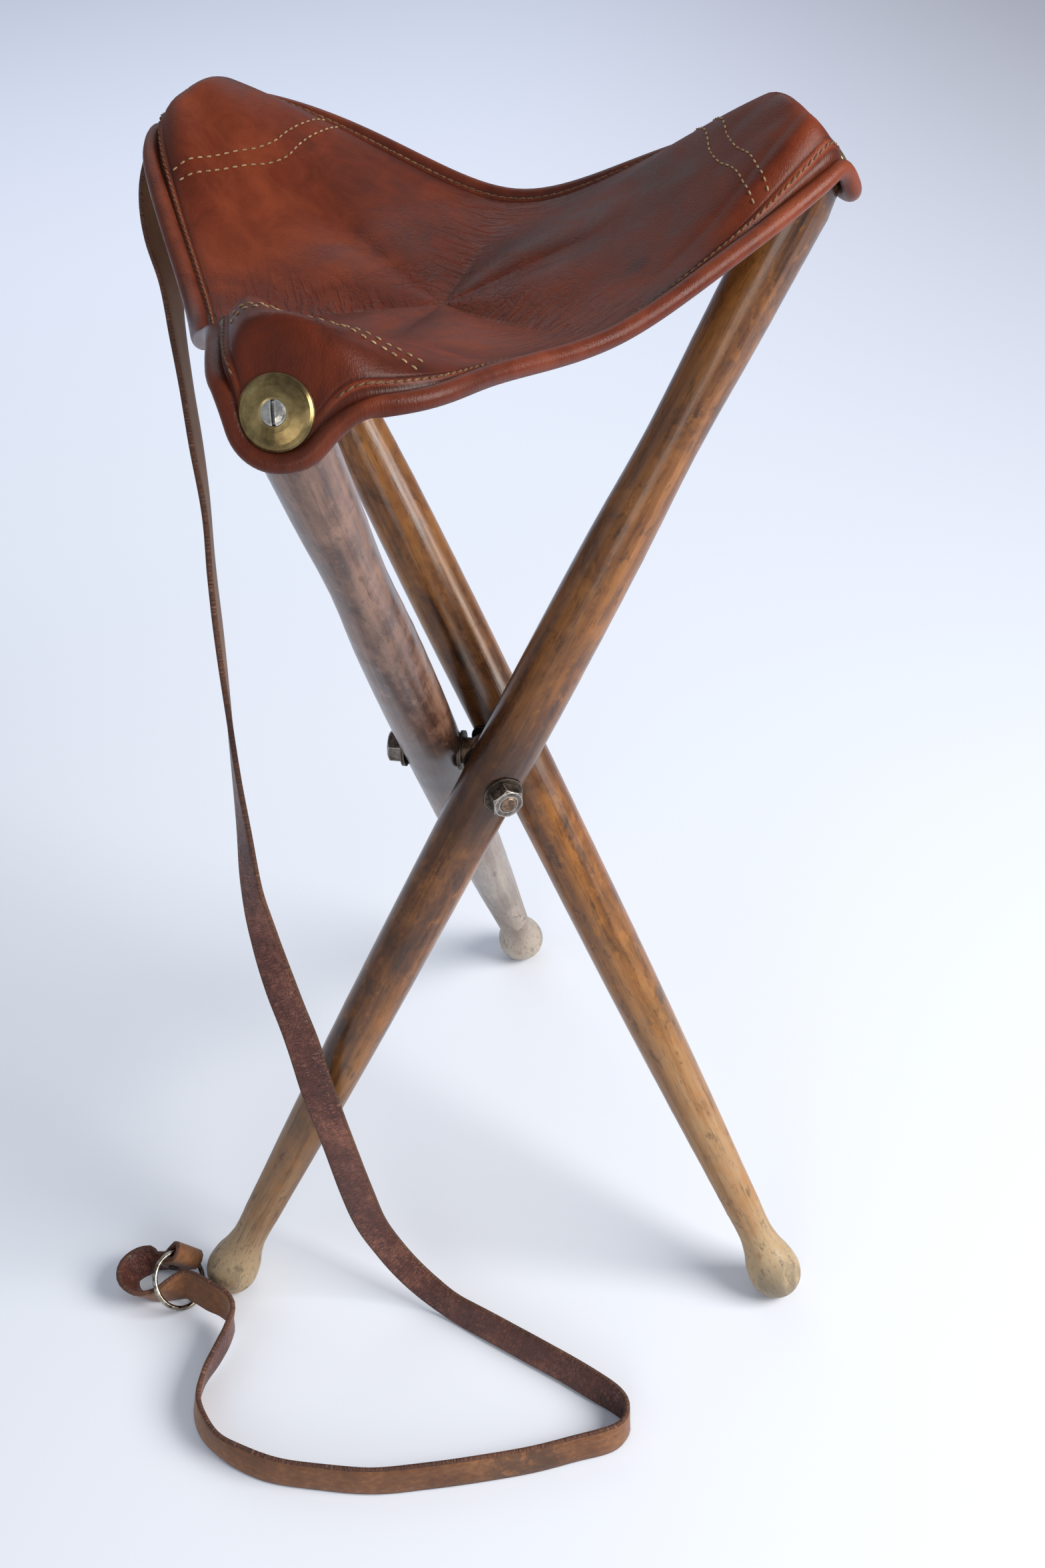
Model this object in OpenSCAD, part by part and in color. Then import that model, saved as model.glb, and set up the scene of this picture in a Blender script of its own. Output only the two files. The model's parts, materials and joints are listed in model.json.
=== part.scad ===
// Folding three-legged stool with a leather seat and a carrying strap.
// Millimetres, +Z up, resting on the floor at Z = 0.

/* [Stance] */
// angle of each leg from the vertical, degrees
splay = 30; // [27:0.5:32]
// distance from the middle of the hub to the axis of a leg
arm_offset = 20; // [19:0.25:22]
// leg length from the pivot down to the middle of the foot
leg_below = 314; // [300:1:330]
// leg length from the pivot up to its top end
leg_above = 291; // [276:1:296]

/* [Legs] */
// radius of the leg at its top end
leg_top_r = 13; // [12.5:0.1:13.4]
// radius of the leg at the pivot
leg_pivot_r = 13.3; // [12.5:0.1:14]
// radius of the waist of the upper leg
leg_waist_r = 11.4; // [10.5:0.1:12.5]
// radius of the ankle above the foot
ankle_r = 8.4; // [7.6:0.1:9.4]
// radius of the foot
foot_r = 13; // [12:0.1:14]
// half length of the foot along the leg
foot_half = 14.4; // [13.5:0.1:15.5]
// depth worn off the foot where it stands
foot_flat = 0.5; // [0.3:0.1:1]
// how much the leg narrows into its top face
top_in = 2; // [1:0.25:3]
// slant of the leg's top face from square, which lays the seat corner over the leg
face_tilt = 30; // [20:1:34]

/* [Hub and bolts] */
// radius of the hub's threaded arms
bolt_r = 4; // [3.5:0.1:4.5]
// running clearance round an arm in the leg's bore
bore_gap = 0.08; // [0.04:0.01:0.1]
// radius of the shoulder that carries the inner washer
shoulder_r = 6; // [5.6:0.1:6.4]
// radius of the washers
washer_r = 9; // [8:0.1:9.5]
// thickness of the washers
washer_t = 1.6; // [1.2:0.1:2]
// depth of the flat spot cut round each bore
spot_depth = 1.2; // [0.8:0.1:1.5]
// width of the nuts across their flats
nut_flats = 13; // [12:0.25:14]
// height of the nuts
nut_h = 6.5; // [5.5:0.25:8]
// length of thread past the nut
thread_out = 0.6; // [0.2:0.1:2]

/* [Seat] */
// thickness of the seat leather
leather_t = 3.2; // [2.6:0.1:3.8]
// radius of the seat's outline round a corner screw
corner_r = 16; // [15:0.25:18]
// radius of the rolled edge
roll_r = 3.6; // [3:0.1:4]
// height of the middle of the seat below its corner screws
dish_depth = 37; // [26:1:40]
// height of the middle of a side below the corner screws
side_drop = 27; // [20:1:32]
// rise of the seat's outline at the corners over the screws
corner_lift = 3; // [0:0.5:8]
// height of the fold that each corner makes over its leg
crest_h = 30; // [20:1:36]
// radius of the leather patch on each leg end
patch_r = 10; // [9:0.2:10.4]
// thickness of the leather patch
patch_t = 1.8; // [1.2:0.1:2.4]

/* [Corner fittings] */
// radius of the domed washers
cup_r = 12.5; // [11.5:0.1:13]
// height of the domed washers
cup_h = 3.2; // [2.8:0.1:4]
// thickness of the domed washers' sheet
cup_t = 1.2; // [0.9:0.1:1.4]
// radius of the screw heads
head_r = 4.1; // [3.8:0.1:4.6]
// radius of the screws
screw_r = 2.5; // [2:0.1:2.8]
// depth of the screws in the leg
screw_in = 18; // [10:1:18]
// width of the screwdriver slot
slot_w = 1.2; // [0.9:0.1:1.5]

/* [Strap] */
// width of the strap
strap_w = 16; // [14:0.5:17]
// thickness of the strap
strap_t = 2.6; // [2:0.1:3]
// radius of the ring's middle line
ring_r = 14; // [13.5:0.1:15]
// radius of the ring's wire
wire_r = 1.3; // [1.1:0.1:1.5]
// radius of the rivet in the strap's folded end
rivet_r = 1.5; // [1.2:0.1:2]

/* [Hidden] */
$fn = 48;
air = 0.3;
play = 0.05;
// lowest point of the leaning foot below its middle
foot_drop = sqrt(pow(foot_half * cos(splay), 2) + pow(foot_r * sin(splay), 2)) - foot_flat;
hub_h = leg_below * cos(splay) + foot_drop;
leg_len = leg_above + leg_below;
// plan angles and radii of the seat corners and of the feet
stack = patch_t + air + leather_t;
tilt = splay + face_tilt;
reach = leg_above * sin(splay) + stack * sin(tilt);
corner_R = norm([arm_offset, reach]);
foot_R = norm([arm_offset, leg_below * sin(splay)]);
foot_turn = atan2(leg_below * sin(splay), arm_offset);
top_turn = atan2(reach, arm_offset);
az = [for (k = [0:2]) 210 + foot_turn + 120 * k];
top_az = [for (a = az) a + top_turn];
foot_az = [for (a = az) a - foot_turn];
spot_in = arm_offset - leg_pivot_r + spot_depth;
spot_out = arm_offset + leg_pivot_r - spot_depth;
shoulder_x = spot_in - play - washer_t;
nut_x = spot_out + play + washer_t;
arm_len = nut_x + nut_h + thread_out;

// leg outline: distance from the top end, radius
leg_form = [[60, leg_top_r - 0.5], [120, leg_waist_r], [170, leg_pivot_r - 0.4],
            [230, leg_pivot_r + 0.2], [leg_above, leg_pivot_r], [360, leg_pivot_r - 0.5],
            [430, leg_pivot_r - 1.2], [500, ankle_r + 2.2], [leg_len - 40, ankle_r + 0.4],
            [leg_len - 24, ankle_r], [leg_len - 15, ankle_r + 1.5],
            [leg_len - 8, foot_r - 1], [leg_len, foot_r]];
function ease(a, b, c, d, t) =
  b + (c - a) * t / 2 + (2 * a - 5 * b + 4 * c - d) * t * t / 2
  + (3 * b - a - 3 * c + d) * t * t * t / 2;
function smooth_form(p) = [for (i = [0:len(p) - 2], j = [0:2])
  let (a = p[max(i - 1, 0)], b = p[i], c = p[i + 1], d = p[min(i + 2, len(p) - 1)])
  [b[0] + (c[0] - b[0]) * j / 3, ease(a[1], b[1], c[1], d[1], j / 3)]];
leg_side = smooth_form(leg_form);

// seat surface: r and a are the polar place on the flat leather, which the corners then fold down
side_z = leg_above * cos(splay) + stack * cos(tilt) + hub_h;
function near(a) = let (d = (a - top_az[0]) % 120) d > 60 ? d - 120 : d < -60 ? d + 120 : d;
function rim(d, c) = abs(d) <= atan2(c * sin(60), corner_R + c * cos(60))
  ? corner_R * cos(d) + sqrt(c * c - pow(corner_R * sin(d), 2))
  : (corner_R * cos(60) + c) / cos(60 - abs(d));
function lobe(d) = (1 + cos(3 * d)) / 2;
function step(t) = let (u = min(max(t, 0), 1)) u * u * (3 - 2 * u);
function lower_of(a, b, k) = min(a, b) - pow(max(k - abs(a - b), 0), 2) / (4 * k);
fold_in = cup_r + 11.5;
fold_soft = 10;
function dish(q, d, r) = let (g = lobe(d), x = r * cos(d),
    f = r * sin(d) * sqrt(3) / (corner_R + 2 * corner_r - x))
  side_z - dish_depth + (dish_depth - side_drop + (side_drop + corner_lift) * g) * pow(q, 1.8)
  + crest_h * step((x / corner_R - 0.33) / 0.53) * pow(max(1 - f * f, 0), 1.3);
lean = 90 - top_turn;
function spot(r, a) = let (d = near(a), q = r / rim(d, corner_r), g = lobe(d),
    x = r * cos(d) - corner_R, y = r * sin(d), s = x * cos(lean) + y * sin(lean),
    m = (s - fold_in + norm([s + fold_in, fold_soft])) / 2,
    w = (cos(tilt) - 1) * m * step((q - 0.25) * 2) * g,
    px = x + w * cos(lean), py = y + w * sin(lean),
    down = side_z - tan(tilt) * (px * cos(lean) + py * sin(lean)), t = a - d)
  [(px + corner_R) * cos(t) - py * sin(t), (px + corner_R) * sin(t) + py * cos(t),
   lower_of(dish(q, d, r), down, fold_soft)];
function unit(v) = v / norm(v);
function up_at(r, a) = unit(cross(
  spot(r + 0.5, a) - spot(r - 0.5, a),
  spot(r, a + 0.2) - spot(r, a - 0.2)));
// the outline's stations: nine round each corner, eleven along each side
function stations(c) = [for (k = [0:2]) each concat(
  [for (i = [-4:4]) let (p = [corner_R + c * cos(15 * i), c * sin(15 * i)])
    [norm(p), atan2(p[1], p[0]) + top_az[0] + 120 * k]],
  [for (i = [1:11]) let (h = corner_R * cos(60) + c,
      e = corner_R * sin(60) * (1 - i / 6))
    [norm([h, e]), 60 - atan2(e, h) + top_az[0] + 120 * k]])];
seat_c = corner_r - roll_r - air;
seat_q = [0.12, 0.25, 0.38, 0.5, 0.6, 0.68, 0.74, 0.79, 0.825, 0.86, 0.9, 0.95, 1];
outline = stations(seat_c);
seat_n = len(outline);
seat_top = [for (q = seat_q, s = outline) spot(s[0] * q, s[1])];
seat_low = [for (q = seat_q, s = outline) spot(s[0] * q, s[1]) - leather_t * up_at(s[0] * q, s[1])];
seat_mid = [0, 0, side_z - dish_depth];
roll_line = [for (s = stations(corner_r)) spot(s[0], s[1]) - 0.4 * roll_r * up_at(s[0], s[1])];
roll_n = 8;
// middle of the standing stool's box in plan
xs = [for (p = roll_line, s = [-1, 1]) p[0] + s * roll_r * cos(180 / roll_n)];
ys = [for (p = roll_line, s = [-1, 1]) p[1] + s * roll_r * cos(180 / roll_n)];
fx = [for (a = foot_az, s = [-1, 1]) foot_R * cos(a) + s * foot_r];
fy = [for (a = foot_az, s = [-1, 1]) foot_R * sin(a) + s * foot_r];
mid = [(max(concat(xs, fx)) + min(concat(xs, fx))) / 2,
       (max(concat(ys, fy)) + min(concat(ys, fy))) / 2, 0];

// one closed band of rings, each ring n points
function tube_faces(m, n, shut) = concat(
  [for (i = [0:m - (shut ? 1 : 2)], j = [0:n - 1], t = [0, 1])
    let (a = i * n, b = ((i + 1) % m) * n, k = (j + 1) % n)
    t == 0 ? [a + j, a + k, b + k] : [a + j, b + k, b + j]],
  shut ? [] : [[for (j = [n - 1:-1:0]) j], [for (j = [0:n - 1]) (m - 1) * n + j]]);

// strap: middle line and the direction of its width, at the stool's standard stance
drop = [[-122, 114, 528, -7, -7, 0], [-132, 114, 521, -7, -7, 0], [-137, 111, 510, -7, -7, 0],
  [-139, 106, 499, -6, -8, 0], [-138, 100, 487, -5, -8, 0], [-134, 91, 472, -3, -9, 0],
  [-132, 80, 453, -1, -10, 0], [-129, 68, 433, 0, -10, 0], [-126, 56, 411, 0, -10, 0],
  [-123, 43, 386, 1, -10, 0], [-122, 30, 360, 1, -10, 0], [-120, 16, 333, 1, -10, 0],
  [-118, 3, 306, 2, -10, 0], [-116, -10, 279, 3, -9, 0], [-114, -21, 255, 5, -9, 0],
  [-112, -33, 229, 7, -7, 0], [-107, -44, 206, 9, -4, 0], [-100, -56, 185, 10, -2, 0],
  [-92, -67, 163, 10, -1, 0], [-86, -76, 139, 10, 0, 0], [-79, -82, 109, 10, 0, 0],
  [-73, -84, 74, 10, 1, 0]];
lay = [[-68, -85, 50, 10, 1, 2], [-60, -87, 32, 9, 1, 4], [-51, -91, 20, 7, 2, 7],
  [-40, -97, 12, 4, 3, 9], [-27, -105, 8, 2, 3, 9], [-9, -116, 8, 2, 4, 9],
  [9, -127, 8, 2, 4, 9], [27, -138, 8, 2, 4, 9], [42, -148, 8, 2, 4, 9],
  [53, -156, 8, 1, 3, 9], [58, -163, 8, 0, 2, 9], [57, -171, 8, 0, 1, 9],
  [50, -177, 8, 0, 2, 9], [34, -182, 8, 0, 2, 9], [14, -188, 8, 0, 2, 9],
  [-10, -193, 8, 0, 2, 9], [-34, -197, 8, 0, 2, 9], [-60, -200, 8, 0, 2, 9],
  [-87, -198, 8, 0, 2, 9], [-107, -195, 8, 1, 2, 9], [-123, -189, 8, 1, 2, 9],
  [-135, -182, 8, 1, 1, 9], [-144, -172, 8, 2, 1, 9], [-149, -160, 8, 2, 0, 9],
  [-148, -147, 9, 2, 0, 9], [-143, -135, 11, 1, 1, 9], [-139, -124, 13, 1, 2, 9],
  [-138, -115, 15, 1, 3, 9], [-143, -108, 15, 1, 4, 8], [-151, -103, 14, 1, 5, 8],
  [-158, -98, 13, 1, 5, 8], [-165, -94, 11, 1, 4, 8], [-172, -95, 9, 0, 1, 9],
  [-180, -98, 8, -1, -3, 9], [-188, -98, 8, -4, -4, 8], [-195, -93, 8, -6, -1, 8],
  [-197, -85, 8, -5, 2, 8], [-193, -79, 8, -4, 4, 8], [-186, -76, 8, -5, 2, 8],
  [-181, -77, 8, -6, 0, 7]];
// ring: its middle, its lowest-going direction and the one across, both in its plane
ring_low = unit([0.59, -0.27, -0.76]);
ring_side = unit([0.42, 0.91, 0] - ring_low * (ring_low * [0.42, 0.91, 0]));
ring_up = cross(ring_low, ring_side);
ring_at = [-169, -92, (ring_r + wire_r) * 0.76 + 0.6];
// where the strap's end folds round the wire
fold_w = unit([-0.71, -0.15, 0.69]);
fold_t = unit(ring_up * sign(ring_up[2]) * 0.977 + 0.212 * unit([0.12, 0.94, 0.33]));
fold_e = unit(cross(fold_w, fold_t));
wire_at = ring_at + ring_r * unit([0.12, 0.94, 0.33]);
sag = ring_r - sqrt(pow(ring_r, 2) - pow(strap_w / 2, 2));
eye_r = wire_r + air + sag / 2 + strap_t / 2;
eye_at = wire_at - sag / 2 * fold_e;
lap = strap_t / 2 + 0.3;
function fold_pt(e, t) = concat(eye_at + e * fold_e + t * fold_t, fold_w);
fold = concat([fold_pt(lap, -9), fold_pt((lap + eye_r) / 2, -4)],
  [for (a = [0:30:180]) fold_pt(eye_r * cos(a), eye_r * sin(a))],
  [fold_pt(-(lap + eye_r) / 2, -4), fold_pt(-lap, -9), fold_pt(-lap, -13)]);
// the drop follows seat corner B, the rest follows foot A
roll_end = corner_R + corner_r * cos(tilt) + roll_r;
tip_move = [roll_end * cos(top_az[1]) - mid[0] + 123.4,
            roll_end * sin(top_az[1]) - mid[1] - 111.5, side_z - corner_r * sin(tilt) - 526.7];
foot_move = [foot_R * cos(210) - mid[0] + 142.35, foot_R * sin(210) - mid[1] + 84.55,
             (strap_w - 16) * 0.49];
line = concat([for (p = drop) let (u = (p[2] - 74) / 455)
    concat([p[0], p[1], p[2]] + tip_move * u + foot_move * (1 - u), [p[3], p[4], p[5]])],
  [for (p = concat(lay, fold)) concat([p[0], p[1], p[2]] + foot_move, [p[3], p[4], p[5]])]);
function pt(i) = [line[i][0], line[i][1], line[i][2]];
last = len(line) - 1;
strap_ring_n = 8;
hw = strap_w / 2;
ht = strap_t / 2;
section = [[hw, ht - 0.7], [hw - 1, ht], [1 - hw, ht], [-hw, ht - 0.7],
           [-hw, 0.7 - ht], [1 - hw, -ht], [hw - 1, -ht], [hw, 0.7 - ht]];
strap_pts = [for (i = [0:last])
  let (t = unit(pt(min(i + 1, last)) - pt(max(i - 1, 0))), v = [line[i][3], line[i][4], line[i][5]],
       w = unit(v - t * (v * t)), n = cross(t, w))
  each [for (s = section) pt(i) + s[0] * w + s[1] * n]];

module at_leg(k) {
  translate(-mid) rotate([0, 0, az[k]]) translate([arm_offset, 0, hub_h])
    rotate([-splay, 0, 0]) children();
}

// the slanted face on the leg's top, +Z out of it
module at_face(k) {
  at_leg(k) translate([0, 0, leg_above]) rotate([-face_tilt, 0, 0]) children();
}

module at_arm(k) {
  translate([0, 0, hub_h] - mid) rotate([0, 0, az[k]]) rotate([0, 90, 0]) children();
}

// turns +Z of the child to direction v
module aim(v) {
  rotate([0, acos(v[2] / norm(v)), atan2(v[1], v[0])]) children();
}

module hub() {
  color([0.42, 0.40, 0.38]) {
    for (k = [0:2]) at_arm(k) {
      cylinder(r = shoulder_r, h = shoulder_x);
      cylinder(r = bolt_r, h = arm_len - 0.8);
      translate([0, 0, arm_len - 0.8]) cylinder(r1 = bolt_r, r2 = bolt_r - 0.8, h = 0.8);
    }
    translate([0, 0, hub_h] - mid) sphere(r = shoulder_r * 1.06);
  }
}

module washer() {
  color([0.33, 0.30, 0.27]) difference() {
    cylinder(r = washer_r, h = washer_t);
    translate([0, 0, -1]) cylinder(r = bolt_r + 0.1, h = washer_t + 2);
  }
}

module inner_washer(k) {
  at_arm(k) translate([0, 0, shoulder_x]) washer();
}

module outer_washer(k) {
  at_arm(k) translate([0, 0, spot_out + play]) washer();
}

module nut(k) {
  corner = nut_flats / cos(30) / 2;
  color([0.62, 0.58, 0.50]) at_arm(k) translate([0, 0, nut_x]) difference() {
    intersection() {
      cylinder(r = corner, h = nut_h, $fn = 6);
      rotate_extrude() polygon([[0, 0], [corner - 0.5, 0], [corner + 0.1, 0.5],
        [corner + 0.1, nut_h - 0.9], [nut_flats / 2 - 0.2, nut_h], [0, nut_h]]);
    }
    translate([0, 0, -1]) cylinder(r = bolt_r, h = nut_h + 2);
  }
}

module leg(k) {
  rise = leg_top_r * tan(face_tilt) + 1;
  color([0.62, 0.46, 0.26]) difference() {
    at_leg(k) translate([0, 0, leg_above]) rotate([180, 0, 0]) rotate_extrude()
      polygon(concat([[0, -rise], [leg_top_r - top_in, -rise], [leg_top_r - top_in, 0],
          [leg_top_r, 16], [leg_top_r - 0.2, 30]],
        [for (p = leg_side) [p[1], p[0]]],
        [for (a = [0:10:80]) [foot_r * cos(a), leg_len + foot_half * sin(a)]],
        [[0, leg_len + foot_half]]));
    at_leg(k) {
      rotate([0, 90, 0]) cylinder(r = bolt_r + bore_gap, h = 4 * leg_pivot_r, center = true);
      for (s = [0, 180]) rotate([0, 90, s]) translate([0, 0, leg_pivot_r - spot_depth])
        cylinder(r = washer_r + 0.5, h = leg_pivot_r);
    }
    at_face(k) {
      translate([0, 0, leg_top_r]) cube([4, 4, 2] * leg_top_r, center = true);
      translate([0, 0, -screw_in]) cylinder(r = screw_r, h = screw_in + 1);
    }
    translate([0, 0, -foot_r]) cube([3 * foot_R, 3 * foot_R, 2 * foot_r], center = true);
  }
}

module patch(k) {
  color([0.30, 0.16, 0.09]) at_face(k) difference() {
    cylinder(r = patch_r, h = patch_t);
    translate([0, 0, -1]) cylinder(r = screw_r, h = patch_t + 2);
  }
}

module cup_washer(k) {
  color([0.55, 0.42, 0.20]) at_face(k) translate([0, 0, stack + air]) rotate_extrude()
    polygon(concat([for (a = [0:12:60]) [cup_r * cos(a), cup_h * sin(a) / sin(66)]],
      [[head_r + 0.5, cup_h], [head_r, cup_h - 0.2], [screw_r + 0.05, cup_h - 0.2 - head_r + screw_r],
       [screw_r + 0.05, cup_h - 0.6 - head_r + screw_r], [head_r + 0.5, cup_h - cup_t]],
      [for (a = [54:-12:6]) [(cup_r - cup_t) * cos(a), (cup_h - cup_t) * sin(a) / sin(66)]],
      [[cup_r - cup_t, 0]]));
}

module screw(k) {
  z0 = stack + air + cup_h - 0.2;
  tip = -screw_in - z0 + 0.2;
  color([0.72, 0.70, 0.66]) at_face(k) difference() {
    translate([0, 0, z0]) rotate_extrude() polygon([[0, tip], [screw_r - 0.8, tip],
      [screw_r, tip + 1.4], [screw_r, screw_r - head_r], [head_r, 0], [head_r * 0.8, 0.45],
      [head_r * 0.45, 0.75], [0, 0.85]]);
    rotate([0, 0, 95]) translate([-head_r - 1, -slot_w / 2, z0 - 0.5])
      cube([2 * head_r + 2, slot_w, head_r]);
  }
}

module seat_leather() {
  m = len(seat_q);
  n = seat_n;
  c = 2 * m * n;
  color([0.50, 0.20, 0.10]) difference() {
    translate(-mid) polyhedron(points = concat(seat_top, seat_low,
        [seat_mid, seat_mid - [0, 0, leather_t]]),
      faces = concat(
        [for (j = [0:n - 1]) [c, (j + 1) % n, j]],
        [for (j = [0:n - 1]) [c + 1, m * n + j, m * n + (j + 1) % n]],
        [for (i = [0:m - 2], j = [0:n - 1], t = [0:3])
          let (a = i * n + j, b = i * n + (j + 1) % n, u = m * n)
          t == 0 ? [a, b, b + n] : t == 1 ? [a, b + n, a + n]
          : t == 2 ? [u + a, u + b + n, u + b] : [u + a, u + a + n, u + b + n]],
        [for (j = [0:n - 1], t = [0, 1])
          let (a = (m - 1) * n + j, b = (m - 1) * n + (j + 1) % n, u = m * n)
          t == 0 ? [a, b, u + b] : [a, u + b, u + a]]));
    for (k = [0:2]) at_face(k) cylinder(r = screw_r + 0.5, h = 3 * stack);
  }
}

module edge_roll() {
  m = len(roll_line);
  n = roll_n;
  pts = [for (i = [0:m - 1])
    let (t = unit(roll_line[(i + 1) % m] - roll_line[(i + m - 1) % m]),
         u = unit(cross(t, [0, 0, 1])), v = cross(u, t))
    each [for (j = [0:n - 1]) roll_line[i]
      + roll_r * (u * cos(360 * (j + 0.5) / n) + v * sin(360 * (j + 0.5) / n))]];
  color([0.42, 0.16, 0.08]) translate(-mid)
    polyhedron(points = pts, faces = tube_faces(m, n, true));
}

module strap() {
  color([0.46, 0.22, 0.12]) polyhedron(points = strap_pts,
    faces = tube_faces(last + 1, strap_ring_n, false));
}

module strap_ring() {
  color([0.66, 0.62, 0.55]) translate(ring_at + foot_move) aim(ring_up)
    rotate_extrude() translate([ring_r, 0]) circle(r = wire_r);
}

module strap_rivet() {
  color([0.20, 0.15, 0.12])
    translate(eye_at + foot_move - 10 * fold_t) aim(fold_e) {
      translate([0, 0, -lap - ht - 0.6]) cylinder(r = rivet_r, h = 2 * (lap + ht + 0.6));
      for (s = [0, 1]) mirror([0, 0, s]) translate([0, 0, lap + ht]) cylinder(r = rivet_r + 0.9, h = 0.6);
    }
}

hub();
inner_washer(0);  // inner_washer_a
inner_washer(1);  // inner_washer_b
inner_washer(2);  // inner_washer_c
outer_washer(0);  // outer_washer_a
outer_washer(1);  // outer_washer_b
outer_washer(2);  // outer_washer_c
nut(0);  // nut_a
nut(1);  // nut_b
nut(2);  // nut_c
leg(0);  // leg_a
leg(1);  // leg_b
leg(2);  // leg_c
patch(0);  // patch_a
patch(1);  // patch_b
patch(2);  // patch_c
cup_washer(0);  // cup_washer_a
cup_washer(1);  // cup_washer_b
cup_washer(2);  // cup_washer_c
screw(0);  // screw_a
screw(1);  // screw_b
screw(2);  // screw_c
seat_leather();
edge_roll();
strap();
strap_ring();
strap_rivet();
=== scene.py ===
import json
import math
import bpy
import numpy as np
from mathutils import Matrix, Vector


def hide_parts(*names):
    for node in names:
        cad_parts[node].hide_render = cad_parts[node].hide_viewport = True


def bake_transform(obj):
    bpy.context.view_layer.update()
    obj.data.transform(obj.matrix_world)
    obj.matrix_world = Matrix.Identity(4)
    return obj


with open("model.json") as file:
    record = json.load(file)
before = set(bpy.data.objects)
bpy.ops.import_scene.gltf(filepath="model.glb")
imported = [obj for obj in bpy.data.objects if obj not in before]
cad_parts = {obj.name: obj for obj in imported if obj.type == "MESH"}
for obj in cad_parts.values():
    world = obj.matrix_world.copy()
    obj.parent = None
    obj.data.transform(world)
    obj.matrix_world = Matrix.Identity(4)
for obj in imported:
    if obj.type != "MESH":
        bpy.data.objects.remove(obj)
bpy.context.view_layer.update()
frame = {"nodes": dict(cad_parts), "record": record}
scene = bpy.context.scene
nodes = frame["nodes"]
MM = 0.001

# ---------------------------------------------------------------- sizes shared with the CAD (mm)
SPLAY, FACE, ARM, LOW, UP = 30.0, 30.0, 20.0, 314.0, 291.0
LEATHER, ROLL, CORNER, CUP, PATCH_T, AIR = 3.2, 3.6, 16.0, 12.5, 1.8, 0.3
STACK = PATCH_T + AIR + LEATHER
TILT = math.radians(SPLAY + FACE)
sin_s, cos_s = math.sin(math.radians(SPLAY)), math.cos(math.radians(SPLAY))
REACH = UP * sin_s + STACK * math.sin(TILT)
R_W = math.hypot(ARM, REACH)
R_F = math.hypot(ARM, LOW * sin_s)
foot_turn = math.degrees(math.atan2(LOW * sin_s, ARM))
top_turn = math.degrees(math.atan2(REACH, ARM))
AZ = [210 + foot_turn + 120 * k for k in range(3)]
TOP_AZ = [a + top_turn for a in AZ]
joints = {j["name"]: j for j in frame["record"]["behaviour"]["joints"]}
j0 = joints["fold_a"]
HUB = (np.array(j0["pos_m"]) - ARM * MM * np.array(j0["axis"])) / MM
MID = np.array([-HUB[0], -HUB[1], 0.0])
SIDE_Z = UP * cos_s + STACK * math.cos(TILT) + HUB[2]


def rad(a):
    return np.radians(a)


# ---------------------------------------------------------------- camera
cam_data = bpy.data.cameras.new("camera")
cam = bpy.data.objects.new("camera", cam_data)
scene.collection.objects.link(cam)
scene.camera = cam
cam_data.lens = 45.67
cam_data.clip_start, cam_data.clip_end = 0.05, 60
CAM_FROM_HUB_X, CAM_FROM_HUB_Y, CAM_Z, CAM_ROLL = 0.074243, -0.689966, 0.844589, -3.45
fwd = Vector((-0.06107589, 0.76487136, -0.64128117)).normalized()
level = fwd.cross(Vector((0, 0, 1))).normalized()
above = level.cross(fwd)
roll = math.radians(CAM_ROLL)
right = level * math.cos(roll) + above * math.sin(roll)
upv = -level * math.sin(roll) + above * math.cos(roll)
cam.matrix_world = Matrix((
    (right.x, upv.x, -fwd.x, CAM_FROM_HUB_X + HUB[0] * MM),
    (right.y, upv.y, -fwd.y, CAM_FROM_HUB_Y + HUB[1] * MM),
    (right.z, upv.z, -fwd.z, CAM_Z),
    (0, 0, 0, 1)))


# ---------------------------------------------------------------- material helpers
def lin(r, g, b):
    return tuple(((c / 255) / 12.92 if c / 255 <= 0.04045 else ((c / 255 + 0.055) / 1.055) ** 2.4)
                 for c in (r, g, b)) + (1.0,)


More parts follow.
